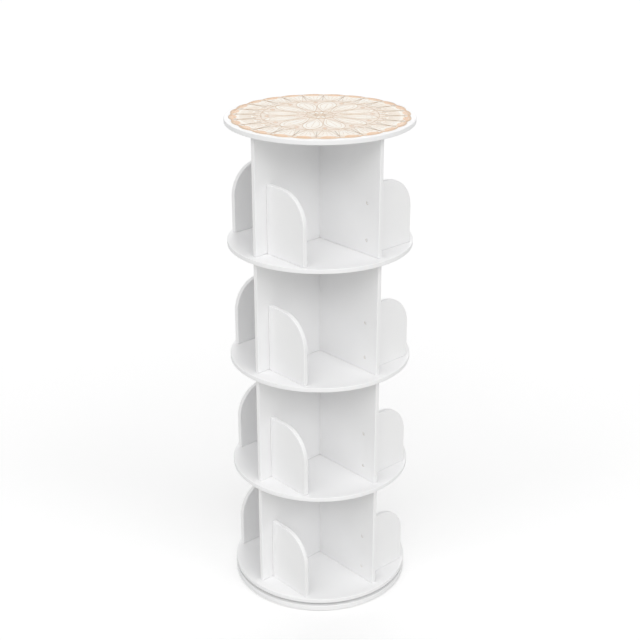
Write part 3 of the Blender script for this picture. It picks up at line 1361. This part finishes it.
mat_pieces = [
    fills("mat_large_petals", [fill_mesh(large_petal, dome=0.3 * MM)], PETALS, CREAM_FLOSS, TURN),
    fills("mat_rosette", [fill_mesh(rosette_petal, dome=0.3 * MM)], PETALS, CREAM_FLOSS, TURN),
    fills("mat_buds", [fill_mesh(bud, dome=0.3 * MM)], PETALS, PEACH_FLOSS, 3 * TURN),
    fills("mat_shells", [fill_mesh(shell, dome=0.2 * MM)], SCALLOPS, CREAM_FLOSS, TURN),
    fills("mat_half_moons", [fill_mesh(moon, dome=0.45 * MM)], SCALLOPS, PEACH_FLOSS, TURN),
    cords("mat_petal_cords", [loop_of(large_petal)], PETALS, TAN_YARN, 1.2 * MM, TURN),
    cords("mat_nested_cords", [loop_of(nested_petal)], PETALS, TAN_YARN, 0.8 * MM, TURN),
    cords("mat_petal_ribs", [[(54, 0), (101, 0)]], PETALS, TAN_YARN, 0.8 * MM, TURN),
    cords("mat_rosette_cords", [loop_of(rosette_petal)], PETALS, TAN_YARN, 1.0 * MM, TURN),
    cords("mat_eyelets", [eyelet(EYELET_AT, 0, 4.8)], PETALS, TAN_YARN, 1.0 * MM, 3 * TURN),
    cords("mat_rings", [ring_line(r) for r in (5.5, 31, PETAL_RING)], 1, TAN_YARN, 1.2 * MM),
    cords("mat_shell_cords", [loop_of(shell)], SCALLOPS, TAN_YARN, 0.9 * MM, TURN),
    cords("mat_shell_ribs", arches + shell_ribs, SCALLOPS, TAN_YARN, 0.6 * MM, TURN),
    cords("mat_spokes", [[(134, 0), (183, 0)]], SCALLOPS, BROWN_YARN, 1.0 * MM),
    cords("mat_half_moon_cords", [loop_of(moon)], SCALLOPS, PEACH_YARN, 0.9 * MM, TURN),
]
edge_angles = np.arange(0, 360, 0.75)
for name, inset, width, yarn in (
        ("mat_edge", 0.7, 1.3 * MM, TAN_YARN), ("mat_border", 3.4, 2.0 * MM, PEACH_YARN)):
    line = [(scalloped(a, inset), a) for a in edge_angles]
    mat_pieces.append(cords(name, [line + [line[0]]], 1, yarn, width))


# Studio: floor, lamps, world and camera
def seen_directly(tree):
    """1 for what the camera sees, also reflected or through a clear piece, and 0 for what lights a piece."""
    path = add(tree, "ShaderNodeLightPath")
    seen = add(tree, "ShaderNodeMath", {
        0: path.outputs["Is Camera Ray"], 1: path.outputs["Is Glossy Ray"]}, operation="MAXIMUM")
    return add(tree, "ShaderNodeMath", {
        0: seen.outputs[0], 1: path.outputs["Is Transmission Ray"]}, operation="MAXIMUM").outputs[0]


def studio_floor(glow_strength):
    """Matt white paper. The camera sees it white with the object's shadow, and light meets a pale grey."""
    material, tree = new_material("paper_floor")
    lit = add(tree, "ShaderNodeBsdfDiffuse", {"Color": linear("#dddddb")})
    paper = add(tree, "ShaderNodeBsdfDiffuse", {"Color": (0.7, 0.7, 0.7, 1.0)})
    glow = add(tree, "ShaderNodeEmission", {"Color": (1.0, 1.0, 1.0, 1.0), "Strength": glow_strength})
    white = add(tree, "ShaderNodeAddShader", {0: paper.outputs[0], 1: glow.outputs[0]})
    shader = add(tree, "ShaderNodeMixShader", {
        0: seen_directly(tree), 1: lit.outputs[0], 2: white.outputs[0]})
    add(tree, "ShaderNodeOutputMaterial", {"Surface": shader.outputs[0]})
    half = 40
    corners = [(-half, -half, 0), (half, -half, 0), (half, half, 0), (-half, half, 0)]
    floor = new_object("paper_floor", mesh_from("paper_floor", corners, [(0, 1, 2, 3)]))
    floor.data.materials.append(material)


def sun(name, azimuth, elevation, strength, softness):
    """A far lamp. The azimuth is the camera's kind: 0 is in front of -Y, and 90 in front of +X."""
    lamp = bpy.data.lights.new(name, "SUN")
    lamp.energy = strength
    lamp.angle = math.radians(softness)
    obj = bpy.data.objects.new(name, lamp)
    obj.rotation_euler = (math.radians(90 - elevation), 0, math.radians(azimuth))
    bpy.context.scene.collection.objects.link(obj)


def studio_world(strength):
    """An even white sky of that strength, seen as pure white."""
    world = bpy.data.worlds.new("studio")
    bpy.context.scene.world = world
    world.use_nodes = True
    tree = world.node_tree
    tree.nodes.clear()
    light = add(tree, "ShaderNodeBackground", {"Color": (1.0, 1.0, 1.0, 1.0), "Strength": strength})
    white = add(tree, "ShaderNodeBackground", {"Color": (1.0, 1.0, 1.0, 1.0), "Strength": 1.0})
    shader = add(tree, "ShaderNodeMixShader", {
        0: seen_directly(tree), 1: light.outputs[0], 2: white.outputs[0]})
    add(tree, "ShaderNodeOutputWorld", {"Surface": shader.outputs[0]})


CAMERA_AZIMUTH = 47.43
CAMERA_PITCH = 23.19
CAMERA_OUT = 2.534
CAMERA_UP = 1.720
CAMERA_LENS_MM = 69.88
CAMERA_SENSOR_MM = 36
LAMP_ELEVATION = 40

studio_floor(glow_strength=0.35)
studio_world(strength=0.34)
sun("key", CAMERA_AZIMUTH, LAMP_ELEVATION, strength=0.88, softness=40)
sun("left", CAMERA_AZIMUTH - 47, LAMP_ELEVATION, strength=0.65, softness=40)
sun("right", CAMERA_AZIMUTH + 48, LAMP_ELEVATION, strength=0.77, softness=40)
sun("back", CAMERA_AZIMUTH + 180, LAMP_ELEVATION, strength=0.71, softness=60)

lens = bpy.data.cameras.new("camera")
lens.lens = CAMERA_LENS_MM
lens.sensor_width = CAMERA_SENSOR_MM
camera = bpy.data.objects.new("camera", lens)
bpy.context.scene.collection.objects.link(camera)
azimuth = math.radians(CAMERA_AZIMUTH)
camera.location = (CAMERA_OUT * math.sin(azimuth), -CAMERA_OUT * math.cos(azimuth), CAMERA_UP)
camera.rotation_euler = (math.radians(90 - CAMERA_PITCH), 0, azimuth)
bpy.context.scene.camera = camera
bpy.context.scene.view_settings.view_transform = "Standard"
